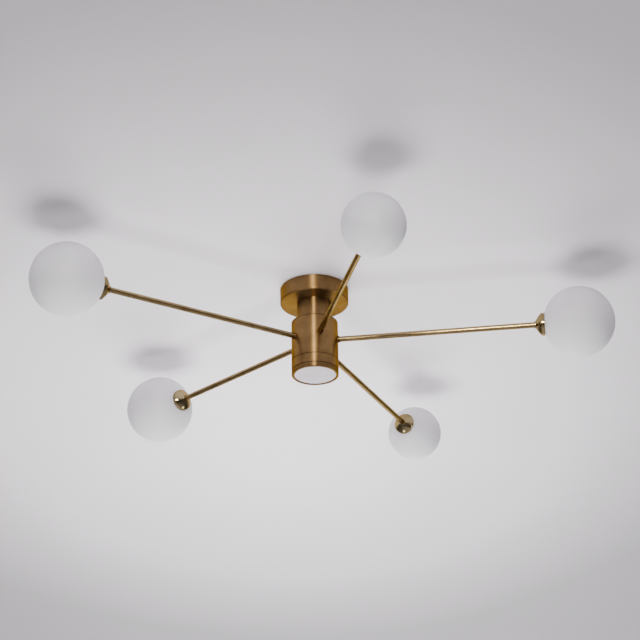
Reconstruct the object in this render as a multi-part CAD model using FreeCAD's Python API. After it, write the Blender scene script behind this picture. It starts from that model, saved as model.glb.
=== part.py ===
import FreeCAD, Part
import math
import os

# Five-arm sputnik ceiling light with opal glass globes and a downlight in its hub.
# Millimetres, +Z up. The origin is the centre of the ceiling face, so every height is negative.
# The arms are listed by the compass angle of their axis, counter-clockwise from +X.

os.makedirs("parts", exist_ok=True)
V = FreeCAD.Vector

# ---------------------------------------------------------------- driving sizes

# Spun ceiling canopy
CANOPY_D = 118.0
CANOPY_H = 27.0
CANOPY_WALL = 1.2
CANOPY_EDGE_R = 1.0

# Neck between the canopy and the hub, a drawn tube with a floor
NECK_D = 59.0
NECK_H = 37.0
NECK_WALL = 1.5

# Hub barrel, closed at the top, and the two turned rings below it
HUB_D = 80.0
BARREL_H = 74.0
BARREL_WALL = 2.5
BARREL_ROOF = 2.5
HUB_END_EDGE_R = 1.2
SEAM_R = 0.6
ARM_DROP = 34.0

# Housing of the downlight, screwed into the barrel
HOUSING_H = 17.0
HOUSING_SPIGOT_H = 12.0
HOUSING_WEB = 4.0
HOUSING_BORE_D = 70.0
THREAD_GAP = 0.1

# Bezel that screws into the housing and carries the diffuser
BEZEL_H = 8.0
BEZEL_SPIGOT_H = 5.0
BEZEL_SPIGOT_WALL = 1.4
BEZEL_RUNNING_GAP = 0.3
BEZEL_LIP = 1.0
BEZEL_OPENING_D = 70.4
BEZEL_OPENING_EDGE_R = 0.3
DIFFUSER_T = 2.5
DIFFUSER_FIT = 0.2
DIFFUSER_EDGE_R = 0.3
DIFFUSER_ON_LIP = 0.7

# LED board, reflector and driver behind the diffuser
BOARD_D = 50.0
BOARD_T = 1.6
CHIP_SIZE = 3.0
CHIP_T = 0.7
CHIP_TO_SCREW_GAP = 1.0
CHIP_INNER_RING_SHARE = 0.55
CHIP_INNER_COUNT = 5
CHIP_OUTER_COUNT = 10
BOARD_SCREW_TO_REFLECTOR_GAP = 0.5
BOARD_SCREW_HOLE_FLOOR = 1.0
REFLECTOR_TOP_D = 45.0
REFLECTOR_WALL = 0.8
REFLECTOR_FLANGE = 2.5
DRIVER_L = 42.0
DRIVER_W = 28.0
DRIVER_H = 14.0
DRIVER_EDGE_R = 3.0
DRIVER_EAR_T = 1.5
DRIVER_EAR_SPAN = 58.0
DRIVER_EAR_W = 10.0
DRIVER_SCREW_TO_EAR_END = 4.0

# Arms: tube with an inside nut at the hub and a flared cup at the globe
TUBE_D = 9.5
TUBE_WALL = 1.0
TUBE_INSIDE_HUB = 12.0
COLLAR_D = 12.0
COLLAR_L = 2.5
COLLAR_EDGE_R = 0.6
SADDLE_D = 14.0
SADDLE_T = 1.6
FERRULE_D = 12.5
FERRULE_L = 2.0

# Globe cups
CUP_D = 38.5
CUP_RIM_L = 6.0
CUP_CONE_L = 9.0
CUP_BASE_D = 12.5
CUP_SHOULDER_D = 36.5
CUP_BELLY_D = 28.0
CUP_BELLY_L = 4.6
CUP_BELLY_ROUND_R = 28.0
CUP_STEP_R = 0.4
CUP_RIM_EDGE_R = 0.55
CUP_WALL = 1.2
CUP_EDGE_R = 0.7

# Opal glass globes, mouth held in the cup
LARGE_GLOBE_D = 120.0
SMALL_GLOBE_D = 100.0
GLASS_T = 2.0
GLOBE_MOUTH_WALL = 2.5
GLOBE_RUNNING_GAP = 0.35

# Lampholders and capsule lamps
HOLDER_D = 21.0
HOLDER_L = 24.3
HOLDER_SPIGOT_D = 11.6
HOLDER_SPIGOT_L = 3.3
HOLDER_BUSH_DEPTH = 5.0
HOLDER_SHOULDER_L = 1.5
HOLDER_REAR_EDGE_R = 0.8
HOLDER_FRONT_EDGE_R = 1.0
SOCKET_W = 14.6
SOCKET_T = 6.6
SOCKET_DEPTH = 7.0
SOCKET_CORNER_R = 1.0
LEAD_SEAT_DEPTH = 1.0
PIN_SPACING = 9.0
PIN_D = 1.2
PIN_L = 7.8
PIN_HOLE_D = 2.2
PIN_END_GAP = 0.5
LAMP_D = 15.0
LAMP_BASE_L = 7.7
LAMP_COLLAR_L = 9.0
LAMP_BODY_L = 36.0
LAMP_FOOT_SHARE = 0.8
LAMP_FOOT_L = 2.0
LAMP_NECK_SHARE = 0.93
LAMP_TIP_SHARE = 0.9
LAMP_EDGE_R = 0.6
LAMP_SEAT_GAP = 0.3
LAMP_BASE_GAP = 0.5

# Centre nipple, its nuts and washers
NIPPLE_D = 10.0
NIPPLE_BORE_D = 7.5
NIPPLE_END_IN_CANOPY = 7.8
NIPPLE_END_IN_HUB = 9.5
NUT_ACROSS_FLATS = 14.0
NUT_T = 3.5
NUT_ROUND_SHARE = 0.06
NUT_CORNER_MARGIN = 1.01
WASHER_D = 22.0
WASHER_T = 1.5
HOLE_GAP = 0.1
NUT_BORE_GAP = 0.05

# Ceiling bracket
BRACKET_D = 92.0
BRACKET_T = 2.0
BRACKET_BEND_R = 1.0
BRACKET_SLOT_SPACING = 60.0
BRACKET_SLOT_L = 20.0
BRACKET_SLOT_W = 5.0
CABLE_HOLE_D = 12.0
EAR_W = 14.0
EAR_H = 20.0
EAR_TO_CANOPY_GAP = 0.8
EAR_TIP_R = 3.0
SIDE_SCREW_ANGLE = 320.0
SIDE_SCREW_DROP = 13.5

# Fasteners
SIDE_SCREW_D = 4.0
SIDE_SCREW_L = 6.0
SIDE_SCREW_HEAD_D = 7.0
SIDE_SCREW_HEAD_T = 2.4
SMALL_SCREW_D = 3.0
SMALL_SCREW_L = 4.5
SMALL_SCREW_HEAD_D = 5.0
SMALL_SCREW_HEAD_T = 1.6
EARTH_SCREW_X = -26.0
EARTH_SCREW_Y = -22.0
SCREW_HOLE_GAP = 0.1
PAN_ROUND_SHARE = 0.45

# Wiring
TERMINAL_L = 30.0
TERMINAL_W = 14.0
TERMINAL_H = 13.0
TERMINAL_OFFSET = 26.0
TERMINAL_POLES = 3
TERMINAL_EDGE_R = 1.5
TERMINAL_NOTCH_DEPTH_SHARE = 1 / 3
TERMINAL_NOTCH_W_SHARE = 0.2
JUNCTION_D = 26.0
JUNCTION_T = 10.0
JUNCTION_EDGE_R = 1.0
JUNCTION_ABOVE_ARMS = 10.0
LEAD_D = 3.2
LEAD_BEND_IN_DIAMETERS = 3.2
LEAD_ENTRY_R = 7.0
LED_LEAD_D = 1.8
LED_LEAD_SPACING = 6.0
LED_LEAD_OFFSET = 10.5

# Arm number, compass angle, hub axis to globe centre, globe diameter
ARMS = (
    ("1", 352.3, 448.0, LARGE_GLOBE_D),
    ("2", 64.9, 445.0, SMALL_GLOBE_D),
    ("3", 136.1, 400.0, LARGE_GLOBE_D),
    ("4", 210.8, 457.0, LARGE_GLOBE_D),
    ("5", 283.1, 402.0, SMALL_GLOBE_D),
)

# ---------------------------------------------------------------- heights worked out from them

canopy_floor = -CANOPY_H
neck_bottom = canopy_floor - NECK_H
barrel_top = neck_bottom
barrel_bottom = barrel_top - BARREL_H
housing_bottom = barrel_bottom - HOUSING_H
bezel_bottom = housing_bottom - BEZEL_H
arm_z = barrel_top - ARM_DROP
web_top = barrel_bottom + HOUSING_SPIGOT_H
web_bottom = web_top - HOUSING_WEB
board_bottom = web_bottom - BOARD_T
junction_bottom = arm_z + JUNCTION_ABOVE_ARMS
junction_top = junction_bottom + JUNCTION_T
hub_r = HUB_D / 2
barrel_bore_r = hub_r - BARREL_WALL
tube_r = TUBE_D / 2
nipple_hole_r = NIPPLE_D / 2 + HOLE_GAP
nut_bore_r = NIPPLE_D / 2 + NUT_BORE_GAP

# ---------------------------------------------------------------- shape helpers


def outline(corners):
    """Face in the XZ plane from (x, z) corners; a third number rounds that corner."""
    turns = []
    for i, corner in enumerate(corners):
        here = V(corner[0], 0, corner[1])
        if len(corner) < 3:
            turns.append((here, None, here))
            continue
        before = corners[i - 1]
        after = corners[(i + 1) % len(corners)]
        to_before = (V(before[0], 0, before[1]) - here).normalize()
        to_after = (V(after[0], 0, after[1]) - here).normalize()
        half_angle = to_before.getAngle(to_after) / 2
        bisector = (to_before + to_after).normalize()
        setback = corner[2] / math.tan(half_angle)
        reach = corner[2] / math.sin(half_angle) - corner[2]
        turns.append((here + to_before * setback, here + bisector * reach, here + to_after * setback))
    edges = []
    for i, (first, middle, last) in enumerate(turns):
        if middle is not None:
            edges.append(Part.Arc(first, middle, last).toShape())
        following = turns[(i + 1) % len(turns)][0]
        edges.append(Part.LineSegment(last, following).toShape())
    return Part.Face(Part.Wire(edges))


def turned(corners):
    """Solid turned about Z from (radius, height) corners."""
    return outline(corners).revolve(V(0, 0, 0), V(0, 0, 1), 360)


def bar(radius, low, high, x=0.0, y=0.0):
    """Round bar along Z."""
    return Part.makeCylinder(radius, high - low, V(x, y, low))


def tube(outer_r, inner_r, low, high):
    """Round tube along Z with square ends."""
    return turned([(inner_r, low), (outer_r, low), (outer_r, high), (inner_r, high)])


def block(length, width, low, high, corner_r=0.0):
    """Upright block centred on Z, its four upright edges rounded."""
    body = Part.makeBox(length, width, high - low, V(-length / 2, -width / 2, low))
    if corner_r == 0.0:
        return body
    upright = [e for e in body.Edges if abs(e.tangentAt(0).z) > 0.9]
    return body.makeFillet(corner_r, upright)


def hex_nut(across_flats, bore_r, low, high):
    """Hexagon nut along Z with a plain bore."""
    corner_r = across_flats / math.sqrt(3)
    corners = []
    for k in range(6):
        angle = math.radians(60 * k)
        corners.append(V(corner_r * math.cos(angle), corner_r * math.sin(angle), low))
    corners.append(corners[0])
    prism = Part.Face(Part.makePolygon(corners)).extrude(V(0, 0, high - low))
    round_r = NUT_ROUND_SHARE * across_flats
    outside_r = NUT_CORNER_MARGIN * corner_r
    rounding = turned([(0, low), (outside_r, low, round_r), (outside_r, high, round_r), (0, high)])
    return prism.common(rounding).cut(bar(bore_r, low, high))


def pan_screw(head_d, head_t, shank_d, seat, shank_end):
    """Screw along Z whose head stands above its seat and whose shank ends below it."""
    return turned([(0, shank_end), (shank_d / 2, shank_end), (shank_d / 2, seat),
                   (head_d / 2, seat), (head_d / 2, seat + head_t, PAN_ROUND_SHARE * head_t),
                   (0, seat + head_t)])


def moved(shape, x=0.0, y=0.0, z=0.0):
    placement = FreeCAD.Placement(V(x, y, z), FreeCAD.Rotation())
    return shape.transformed(placement.toMatrix())


def flipped(shape):
    """Turn a shape upside down about the X axis."""
    placement = FreeCAD.Placement(V(0, 0, 0), FreeCAD.Rotation(V(1, 0, 0), 180))
    return shape.transformed(placement.toMatrix())


def radial(shape, angle, height):
    """Lay a shape made along Z on a horizontal axis at a compass angle and a height."""
    lay_down = FreeCAD.Rotation(V(0, 1, 0), 90)
    swing = FreeCAD.Rotation(V(0, 0, 1), angle)
    placement = FreeCAD.Placement(V(0, 0, height), swing * lay_down)
    return shape.transformed(placement.toMatrix())


def swept_lead(edges, diameter, start, direction):
    """Round lead along straight runs and tangent arcs."""
    path = Part.Wire(edges)
    ring = Part.Wire(Part.makeCircle(diameter / 2, start, direction))
    lead = path.makePipeShell([ring], True, True)
    expected = path.Length * math.pi * diameter ** 2 / 4
    print("lead length %.1f mm, volume %.3f of section times length" % (path.Length, lead.Volume / expected))
    return lead


def save(name, *solids):
    """Write one node; several solids make a group."""
    shape = solids[0] if len(solids) == 1 else Part.makeCompound(list(solids))
    shape.exportStep("parts/" + name + ".step")
    print("%-18s %2d solid(s) %9.1f mm3 valid %s" % (name, len(shape.Solids), shape.Volume, shape.isValid()))


# ---------------------------------------------------------------- ceiling bracket and canopy

ear_outside = CANOPY_D / 2 - CANOPY_WALL - EAR_TO_CANOPY_GAP
side_screw_angles = (SIDE_SCREW_ANGLE, SIDE_SCREW_ANGLE - 180)


def bracket_ear():
    """Folded ear along +X, threaded for a side screw."""
    inside = ear_outside - BRACKET_T
    root = BRACKET_D / 2 - EAR_W / 2
    section = outline([(root, 0), (ear_outside, 0, BRACKET_BEND_R + BRACKET_T), (ear_outside, -EAR_H),
                       (inside, -EAR_H), (inside, -BRACKET_T, BRACKET_BEND_R), (root, -BRACKET_T)])
    ear = moved(section.extrude(V(0, EAR_W, 0)), y=-EAR_W / 2)
    tips = []
    for edge in ear.Edges:
        middle = edge.CenterOfMass
        if abs(edge.tangentAt(0).x) > 0.9 and abs(middle.z + EAR_H) < 0.01:
            tips.append(edge)
    return ear.makeFillet(EAR_TIP_R, tips)


def slot_cutter(x):
    """Slot along X, centred on x."""
    straight = BRACKET_SLOT_L - BRACKET_SLOT_W
    low = -BRACKET_T
    cutter = Part.makeBox(straight, BRACKET_SLOT_W, BRACKET_T, V(x - straight / 2, -BRACKET_SLOT_W / 2, low))
    for end in (-1, 1):
        cutter = cutter.fuse(bar(BRACKET_SLOT_W / 2, low, 0, x + end * straight / 2))
    return cutter


def ceiling_bracket():
    plate = tube(BRACKET_D / 2, CABLE_HOLE_D / 2, -BRACKET_T, 0)
    thread_r = SIDE_SCREW_D / 2
    for angle in side_screw_angles:
        ear = bracket_ear()
        ear.rotate(V(0, 0, 0), V(0, 0, 1), angle)
        plate = plate.fuse(ear)
    for angle in side_screw_angles:
        hole = bar(thread_r, ear_outside - 2 * BRACKET_T, ear_outside + BRACKET_T)
        plate = plate.cut(radial(hole, angle, -SIDE_SCREW_DROP))
    for side in (-1, 1):
        plate = plate.cut(slot_cutter(side * BRACKET_SLOT_SPACING / 2))
    earth_hole = bar(SIDE_SCREW_D / 2 + SCREW_HOLE_GAP, -BRACKET_T, 0, EARTH_SCREW_X, EARTH_SCREW_Y)
    return plate.cut(earth_hole).removeSplitter()


def canopy():
    outer_r = CANOPY_D / 2
    inner_r = outer_r - CANOPY_WALL
    shell = turned([(outer_r, 0), (outer_r, canopy_floor, CANOPY_EDGE_R + CANOPY_WALL),
                    (nipple_hole_r, canopy_floor), (nipple_hole_r, canopy_floor + CANOPY_WALL),
                    (inner_r, canopy_floor + CANOPY_WALL, CANOPY_EDGE_R), (inner_r, 0)])
    for angle in side_screw_angles:
        hole = bar(SIDE_SCREW_D / 2 + 2 * SCREW_HOLE_GAP, inner_r - CANOPY_WALL, outer_r + CANOPY_WALL)
        shell = shell.cut(radial(hole, angle, -SIDE_SCREW_DROP))
    return shell


def side_screw(angle):
    """Screw through the canopy wall into a bracket ear."""
    seat = CANOPY_D / 2 + SCREW_HOLE_GAP
    shank_d = SIDE_SCREW_D - 2 * NUT_BORE_GAP
    screw = pan_screw(SIDE_SCREW_HEAD_D, SIDE_SCREW_HEAD_T, shank_d, seat, seat - SIDE_SCREW_L)
    return radial(screw, angle, -SIDE_SCREW_DROP)


def earth_screw():
    seat = BRACKET_T
    screw = pan_screw(SIDE_SCREW_HEAD_D, SIDE_SCREW_HEAD_T, SIDE_SCREW_D, seat, HOLE_GAP)
    return moved(flipped(screw), EARTH_SCREW_X, EARTH_SCREW_Y)


terminal_bottom = -BRACKET_T - TERMINAL_H
pole_pitch = TERMINAL_L / TERMINAL_POLES
pole_screw_y = TERMINAL_OFFSET - TERMINAL_W / 4


def terminal_block():
    """Three-pole block under the bracket, with a notch between the poles."""
    body = block(TERMINAL_L, TERMINAL_W, terminal_bottom, -BRACKET_T, TERMINAL_EDGE_R)
    body = moved(body, y=TERMINAL_OFFSET)
    notch_depth = TERMINAL_NOTCH_DEPTH_SHARE * TERMINAL_H
    notch_w = TERMINAL_NOTCH_W_SHARE * pole_pitch
    for k in range(1, TERMINAL_POLES):
        x = -TERMINAL_L / 2 + k * pole_pitch
        corner = V(x - notch_w / 2, TERMINAL_OFFSET - TERMINAL_W / 2, terminal_bottom)
        body = body.cut(Part.makeBox(notch_w, TERMINAL_W, notch_depth, corner))
    for x in pole_positions():
        pocket = bar(SMALL_SCREW_HEAD_D / 2 + SCREW_HOLE_GAP, terminal_bottom,
                     terminal_bottom + SMALL_SCREW_L, x, pole_screw_y)
        body = body.cut(pocket)
    return body


def pole_positions():
    return [(k - (TERMINAL_POLES - 1) / 2) * pole_pitch for k in range(TERMINAL_POLES)]


def terminal_screws():
    """Clamp screws sunk in the pockets of the terminal block."""
    top = terminal_bottom + SMALL_SCREW_L
    head_r = SMALL_SCREW_HEAD_D / 2
    return [bar(head_r, top - SMALL_SCREW_L / 2, top, x, pole_screw_y) for x in pole_positions()]


def supply_lead():
    """Lead from the terminal block over a bend and down the nipple to the junction block."""
    height = terminal_bottom + TERMINAL_H / 2
    bend = LEAD_BEND_IN_DIAMETERS * LEAD_D
    start = V(0, TERMINAL_OFFSET - TERMINAL_W / 2, height)
    bend_start = V(0, bend, height)
    slope = bend * (1 - math.sqrt(0.5))
    edges = [Part.LineSegment(start, bend_start).toShape(),
             Part.Arc(bend_start, V(0, slope, height - slope), V(0, 0, height - bend)).toShape(),
             Part.LineSegment(V(0, 0, height - bend), V(0, 0, junction_top)).toShape()]
    return swept_lead(edges, LEAD_D, start, V(0, -1, 0))


# ---------------------------------------------------------------- nipple, neck and hub


def centre_nipple():
    top = canopy_floor + CANOPY_WALL + NIPPLE_END_IN_CANOPY
    bottom = barrel_top - BARREL_ROOF - NIPPLE_END_IN_HUB
    return tube(NIPPLE_D / 2, NIPPLE_BORE_D / 2, bottom, top)


def nipple_washers():
    on_canopy_floor = canopy_floor + CANOPY_WALL
    under_roof = barrel_top - BARREL_ROOF
    return [tube(WASHER_D / 2, nipple_hole_r, on_canopy_floor, on_canopy_floor + WASHER_T),
            tube(WASHER_D / 2, nipple_hole_r, under_roof - WASHER_T, under_roof)]


def nipple_nuts():
    upper = canopy_floor + CANOPY_WALL + WASHER_T
    lower = barrel_top - BARREL_ROOF - WASHER_T
    return [hex_nut(NUT_ACROSS_FLATS, nut_bore_r, upper, upper + NUT_T),
            hex_nut(NUT_ACROSS_FLATS, nut_bore_r, lower - NUT_T, lower)]


def neck_sleeve():
    outer_r = NECK_D / 2
    return turned([(outer_r, canopy_floor), (outer_r, neck_bottom), (nipple_hole_r, neck_bottom),
                   (nipple_hole_r, neck_bottom + NECK_WALL),
                   (outer_r - NECK_WALL, neck_bottom + NECK_WALL), (outer_r - NECK_WALL, canopy_floor)])


def hub_barrel():
    """Cup turned upside down, cross-drilled for the arm tubes."""
    barrel = turned([(hub_r, barrel_top, HUB_END_EDGE_R), (hub_r, barrel_bottom, SEAM_R),
                     (barrel_bore_r, barrel_bottom), (barrel_bore_r, barrel_top - BARREL_ROOF),
                     (nipple_hole_r, barrel_top - BARREL_ROOF), (nipple_hole_r, barrel_top)])
    for _, angle, _, _ in ARMS:
        hole = bar(tube_r + HOLE_GAP, barrel_bore_r - BARREL_WALL, hub_r + BARREL_WALL)
        barrel = barrel.cut(radial(hole, angle, arm_z))
    return barrel


def junction_block():
    """Round splice block where the arm leads meet the supply."""
    r = JUNCTION_D / 2
    return turned([(0, junction_bottom), (r, junction_bottom, JUNCTION_EDGE_R),
                   (r, junction_top, 2 * JUNCTION_EDGE_R), (0, junction_top)])


# ---------------------------------------------------------------- downlight

diffuser_r = BEZEL_OPENING_D / 2 + DIFFUSER_ON_LIP
bezel_spigot_r = diffuser_r + DIFFUSER_FIT + BEZEL_SPIGOT_WALL
counterbore_r = bezel_spigot_r + BEZEL_RUNNING_GAP
driver_screw_x = DRIVER_EAR_SPAN / 2 - DRIVER_SCREW_TO_EAR_END
board_screw_r = REFLECTOR_TOP_D / 2 - BOARD_SCREW_TO_REFLECTOR_GAP - SMALL_SCREW_HEAD_D / 2
board_screw_angles = (90, 210, 330)
chip_outer_ring_r = board_screw_r - SMALL_SCREW_HEAD_D / 2 - CHIP_TO_SCREW_GAP - CHIP_SIZE / 2
chip_inner_ring_r = chip_outer_ring_r * CHIP_INNER_RING_SHARE
chip_rings = ((chip_inner_ring_r, CHIP_INNER_COUNT), (chip_outer_ring_r, CHIP_OUTER_COUNT))


def led_lead_positions():
    return [(side * LED_LEAD_SPACING / 2, LED_LEAD_OFFSET) for side in (-1, 1)]


def module_housing():
    """Ring with a web that carries the board below and the driver above."""
    spigot_r = barrel_bore_r - THREAD_GAP
    bore_r = HOUSING_BORE_D / 2
    counterbore_top = housing_bottom + BEZEL_SPIGOT_H + BEZEL_RUNNING_GAP
    body = turned([(hub_r, barrel_bottom, SEAM_R), (hub_r, housing_bottom, SEAM_R),
                   (counterbore_r, housing_bottom), (counterbore_r, counterbore_top),
                   (bore_r, counterbore_top),
                   (bore_r, web_bottom), (0, web_bottom), (0, web_top), (spigot_r, web_top),
                   (spigot_r, barrel_bottom)])
    for x, y in led_lead_positions():
        body = body.cut(bar(LED_LEAD_D / 2 + 2 * SCREW_HOLE_GAP, web_bottom, web_top, x, y))
    for x in (-driver_screw_x, driver_screw_x):
        body = body.cut(bar(SMALL_SCREW_D / 2, web_bottom, web_top, x))
    for angle in board_screw_angles:
        x = board_screw_r * math.cos(math.radians(angle))
        y = board_screw_r * math.sin(math.radians(angle))
        body = body.cut(bar(SMALL_SCREW_D / 2, web_bottom, web_top - BOARD_SCREW_HOLE_FLOOR, x, y))
    return body


def bezel_ring():
    """Screw cap with an inner lip under the diffuser."""
    bore_r = diffuser_r + DIFFUSER_FIT
    opening_r = BEZEL_OPENING_D / 2
    lip_top = bezel_bottom + BEZEL_LIP
    spigot_top = housing_bottom + BEZEL_SPIGOT_H
    return turned([(hub_r, housing_bottom, SEAM_R), (hub_r, bezel_bottom, HUB_END_EDGE_R),
                   (opening_r, bezel_bottom, BEZEL_OPENING_EDGE_R), (opening_r, lip_top), (bore_r, lip_top),
                   (bore_r, spigot_top), (bezel_spigot_r, spigot_top), (bezel_spigot_r, housing_bottom)])


def diffuser_disc():
    low = bezel_bottom + BEZEL_LIP
    high = low + DIFFUSER_T
    return turned([(0, low), (diffuser_r, low, DIFFUSER_EDGE_R),
                   (diffuser_r, high, DIFFUSER_EDGE_R), (0, high)])


def reflector():
    """White cone from the board to the housing's bore."""
    low = housing_bottom + BEZEL_SPIGOT_H + 2 * BEZEL_RUNNING_GAP
    flange_top = low + REFLECTOR_WALL
    flange_r = HOUSING_BORE_D / 2 - THREAD_GAP
    mouth_r = flange_r - REFLECTOR_FLANGE
    top_r = REFLECTOR_TOP_D / 2
    return turned([(mouth_r, low), (flange_r, low), (flange_r, flange_top),
                   (mouth_r + REFLECTOR_WALL, flange_top), (top_r + REFLECTOR_WALL, board_bottom),
                   (top_r, board_bottom)])


def led_board():
    board = bar(BOARD_D / 2, board_bottom, web_bottom)
    for angle in board_screw_angles:
        x = board_screw_r * math.cos(math.radians(angle))
        y = board_screw_r * math.sin(math.radians(angle))
        board = board.cut(bar(SMALL_SCREW_D / 2 + SCREW_HOLE_GAP, board_bottom, web_bottom, x, y))
    return board


def led_chips():
    chips = []
    for ring_r, count in chip_rings:
        for k in range(count):
            chip = block(CHIP_SIZE, CHIP_SIZE, board_bottom - CHIP_T, board_bottom)
            chip = moved(chip, x=ring_r)
            chip.rotate(V(0, 0, 0), V(0, 0, 1), 360 * (k + 0.5) / count)
            chips.append(chip)
    return chips


def board_screws():
    screws = []
    shank_d = SMALL_SCREW_D - 2 * NUT_BORE_GAP
    for angle in board_screw_angles:
        screw = pan_screw(SMALL_SCREW_HEAD_D, SMALL_SCREW_HEAD_T, shank_d, -board_bottom,
                          -board_bottom - SMALL_SCREW_L)
        x = board_screw_r * math.cos(math.radians(angle))
        y = board_screw_r * math.sin(math.radians(angle))
        screws.append(moved(flipped(screw), x, y))
    return screws


def led_driver():
    """Potted driver with two fixing ears."""
    body = block(DRIVER_L, DRIVER_W, web_top, web_top + DRIVER_H, DRIVER_EDGE_R)
    ears = block(DRIVER_EAR_SPAN, DRIVER_EAR_W, web_top, web_top + DRIVER_EAR_T, DRIVER_EDGE_R)
    body = body.fuse(ears)
    for x in (-driver_screw_x, driver_screw_x):
        hole = bar(SMALL_SCREW_D / 2 + SCREW_HOLE_GAP, web_top, web_top + DRIVER_EAR_T, x)
        body = body.cut(hole)
    return body.removeSplitter()


def driver_screws():
    seat = web_top + DRIVER_EAR_T
    shank_d = SMALL_SCREW_D - 2 * NUT_BORE_GAP
    screws = []
    for x in (-driver_screw_x, driver_screw_x):
        screw = pan_screw(SMALL_SCREW_HEAD_D, SMALL_SCREW_HEAD_T, shank_d, seat, seat - SMALL_SCREW_L)
        screws.append(moved(screw, x))
    return screws


def led_leads():
    return [bar(LED_LEAD_D / 2, web_bottom, web_top, x, y) for x, y in led_lead_positions()]


def driver_lead():
    return bar(LEAD_D / 2, web_top + DRIVER_H, junction_bottom)


# ---------------------------------------------------------------- arm pieces, made along Z
# On an arm the height is the distance from the hub axis. rim is the cup's rim on that scale.


def cup_rim(reach, globe_d):
    """Where the cup's rim stands, its inner edge just clear of the globe."""
    inner_edge_r = CUP_D / 2 - CUP_WALL
    depth = math.sqrt((globe_d / 2) ** 2 - inner_edge_r ** 2)
    return reach - depth - GLOBE_RUNNING_GAP


def cup_base(rim):
    return rim - CUP_RIM_L - CUP_CONE_L


def holder_rear(rim):
    return cup_base(rim) + CUP_WALL


def holder_front(rim):
    return holder_rear(rim) + HOLDER_L


def root_collar():
    """Collar outside the hub, hollowed to sit on the barrel."""
    low = hub_r - COLLAR_D / 4
    high = hub_r + COLLAR_L
    ring = turned([(tube_r + NUT_BORE_GAP, low), (COLLAR_D / 2, low), (COLLAR_D / 2, high, COLLAR_EDGE_R),
                   (tube_r + NUT_BORE_GAP, high)])
    return ring.cut(upright_cylinder(hub_r))


def root_saddle():
    """Washer inside the hub, rounded on one side to the barrel's bore."""
    low = barrel_bore_r - SADDLE_T
    washer = tube(SADDLE_D / 2, tube_r + HOLE_GAP, low, barrel_bore_r)
    return washer.common(upright_cylinder(barrel_bore_r))


def upright_cylinder(radius):
    """Cylinder across the arm, standing on the hub axis."""
    length = 4 * COLLAR_D
    return Part.makeCylinder(radius, length, V(-length / 2, 0, 0), V(1, 0, 0))


def root_nut():
    high = barrel_bore_r - SADDLE_T
    return hex_nut(NUT_ACROSS_FLATS, tube_r + NUT_BORE_GAP, high - NUT_T, high)


def arm_tube(rim):
    low = hub_r - TUBE_INSIDE_HUB
    return tube(tube_r, tube_r - TUBE_WALL, low, holder_rear(rim) + HOLDER_BUSH_DEPTH)


def cup_ferrule(rim):
    base = cup_base(rim)
    bore = tube_r + NUT_BORE_GAP
    return turned([(bore, base - FERRULE_L), (FERRULE_D / 2, base - FERRULE_L, COLLAR_EDGE_R),
                   (FERRULE_D / 2, base), (bore, base)])


def globe_cup(rim):
    """Spun cup: a floor on the tube, a bellied cone, a small step and a straight rim round the globe."""
    base = cup_base(rim)
    shoulder = rim - CUP_RIM_L
    rim_r = CUP_D / 2
    shoulder_r = CUP_SHOULDER_D / 2
    base_r = CUP_BASE_D / 2
    hole_r = tube_r + HOLE_GAP
    bore_r = rim_r - CUP_WALL
    belly_r = CUP_BELLY_D / 2
    flare_low = (belly_r - base_r) / CUP_BELLY_L
    flare_high = (shoulder_r - belly_r) / (CUP_CONE_L - CUP_BELLY_L)
    skew_low = CUP_WALL * math.sqrt(1 + flare_low ** 2)
    skew_high = CUP_WALL * math.sqrt(1 + flare_high ** 2)
    inner_floor_r = base_r + flare_low * CUP_WALL - skew_low
    inner_top_r = shoulder_r - skew_high
    inner_belly_l = (inner_top_r - flare_high * CUP_CONE_L - base_r + skew_low) / (flare_low - flare_high)
    inner_belly_r = base_r - skew_low + flare_low * inner_belly_l
    return turned([(hole_r, base), (base_r, base), (belly_r, base + CUP_BELLY_L, CUP_BELLY_ROUND_R),
                   (shoulder_r, shoulder, CUP_STEP_R), (rim_r, shoulder, CUP_EDGE_R),
                   (rim_r, rim, CUP_RIM_EDGE_R), (bore_r, rim), (bore_r, shoulder + CUP_WALL / 2),
                   (inner_top_r, shoulder),
                   (inner_belly_r, base + inner_belly_l, CUP_BELLY_ROUND_R - CUP_WALL),
                   (inner_floor_r, base + CUP_WALL), (hole_r, base + CUP_WALL)])


def lampholder(rim):
    """Ceramic holder: bush on the tube end, flat socket and two contact holes in front."""
    rear = holder_rear(rim)
    front = holder_front(rim)
    body_r = HOLDER_D / 2
    shoulder = rear + HOLDER_SPIGOT_L
    body = turned([(0, rear), (HOLDER_SPIGOT_D / 2, rear), (HOLDER_SPIGOT_D / 2, shoulder),
                   (body_r, shoulder + HOLDER_SHOULDER_L, HOLDER_REAR_EDGE_R),
                   (body_r, front, HOLDER_FRONT_EDGE_R), (0, front)])
    bush = bar(tube_r + HOLE_GAP, rear, rear + HOLDER_BUSH_DEPTH)
    lead_seat = bar(LEAD_D / 2 + HOLE_GAP, rear, rear + HOLDER_BUSH_DEPTH + LEAD_SEAT_DEPTH)
    body = body.cut(bush).cut(lead_seat)
    body = body.cut(block(SOCKET_T, SOCKET_W, front - SOCKET_DEPTH, front, SOCKET_CORNER_R))
    for side in (-1, 1):
        hole_end = front - SOCKET_DEPTH - PIN_L - PIN_END_GAP
        hole = bar(PIN_HOLE_D / 2, hole_end, front, 0, side * PIN_SPACING / 2)
        body = body.cut(hole)
    return body


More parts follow.
